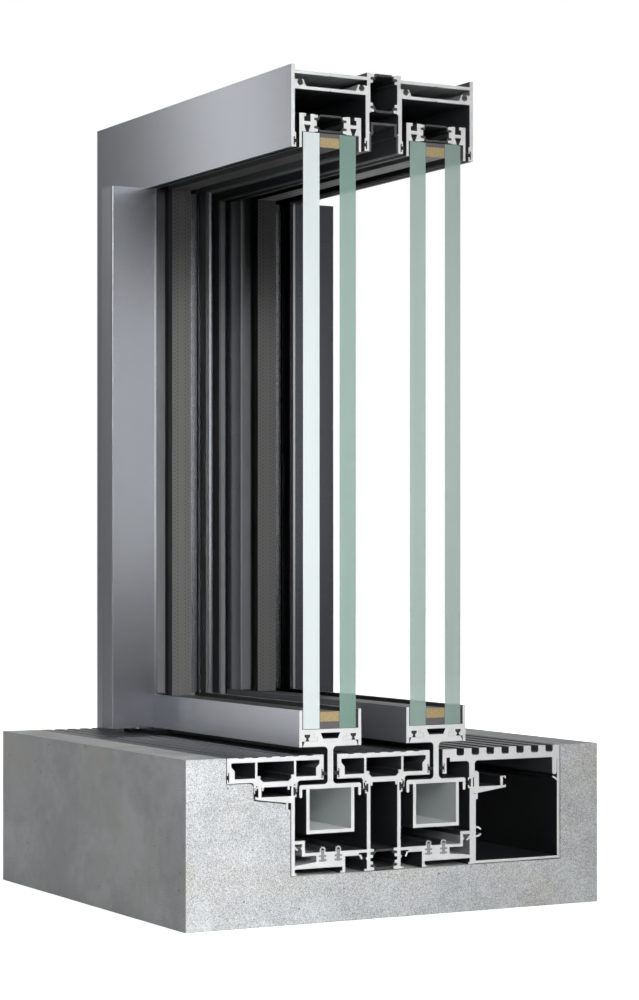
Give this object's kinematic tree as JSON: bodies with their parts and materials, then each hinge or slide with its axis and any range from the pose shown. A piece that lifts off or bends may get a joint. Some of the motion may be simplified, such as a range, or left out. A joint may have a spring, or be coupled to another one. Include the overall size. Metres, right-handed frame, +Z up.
{
  "type": "glass sliding patio door corner section sample",
  "caption": "Cut-away corner of a sliding glass patio door: metal head, jamb and flush sill tracks set in a concrete block, with glazed leaves that slide along them.",
  "frame": {"origin": "centre of the concrete block's underside", "axes": "+Z up; +X along the tracks from the jamb to the cut section; -Y outdoors, +Y indoors"},
  "size_m": [0.2594, 0.265, 0.4682],
  "materials": {
    "concrete": "cast, fine speckle",
    "frame_metal": "satin grey coating",
    "profile_metal": "mill finish, pale where cut",
    "deck_metal": "dark grey coating",
    "dark_metal": "dark grey coating",
    "rail_steel": "brushed",
    "insulator": "matt",
    "black_rubber": "matt",
    "brush_pile": "woven pile",
    "roller_plastic": "matt",
    "clear_glass": "clear float glass, pale green edge",
    "spacer_tan": "matt",
    "sealant": "matt"
  },
  "bodies": {
    "frame": {"concrete_base": "concrete", "outer_track": "profile_metal", "inner_track": "profile_metal", "sill_thermal_breaks": "insulator", "running_rails": "rail_steel", "rail_cores": "insulator", "outer_deck": "deck_metal", "middle_deck": "deck_metal", "outer_deck_tray": "profile_metal", "middle_deck_tray": "profile_metal", "drain_grate": "deck_metal", "drain_channel": "profile_metal", "deck_seals": "black_rubber", "head_outer_profile": "frame_metal", "head_inner_profile": "frame_metal", "head_thermal_breaks": "insulator", "head_cover": "dark_metal", "head_brush_seals": "brush_pile", "jamb_outer_profile": "frame_metal", "jamb_inner_profile": "frame_metal", "jamb_thermal_breaks": "insulator", "jamb_cover": "dark_metal", "jamb_brush_seals": "brush_pile"},
    "outer_leaf": {"outer_leaf_edge_frame_outside": "dark_metal", "outer_leaf_edge_frame_inside": "dark_metal", "outer_leaf_thermal_breaks": "insulator", "outer_leaf_glazing_channel": "frame_metal", "outer_leaf_carrier": "profile_metal", "outer_leaf_roller_truck": "roller_plastic", "outer_leaf_pane_outside": "clear_glass", "outer_leaf_pane_inside": "clear_glass", "outer_leaf_spacer": "spacer_tan", "outer_leaf_edge_seal": "sealant", "outer_leaf_gaskets": "black_rubber", "outer_leaf_pull_bar": "frame_metal"},
    "inner_leaf": {"inner_leaf_edge_frame_outside": "dark_metal", "inner_leaf_edge_frame_inside": "dark_metal", "inner_leaf_thermal_breaks": "insulator", "inner_leaf_glazing_channel": "frame_metal", "inner_leaf_carrier": "profile_metal", "inner_leaf_roller_truck": "roller_plastic", "inner_leaf_pane_outside": "clear_glass", "inner_leaf_pane_inside": "clear_glass", "inner_leaf_spacer": "spacer_tan", "inner_leaf_edge_seal": "sealant", "inner_leaf_gaskets": "black_rubber", "inner_leaf_pull_bar": "frame_metal"}
  },
  "joints": [
    {"name": "outer_leaf_slide", "type": "slide", "parent": "frame", "child": "outer_leaf", "axis": [1, 0, 0], "range_m": [-0.016, 0.12]},
    {"name": "inner_leaf_slide", "type": "slide", "parent": "frame", "child": "inner_leaf", "axis": [1, 0, 0], "range_m": [0, 0.12]}
  ]
}
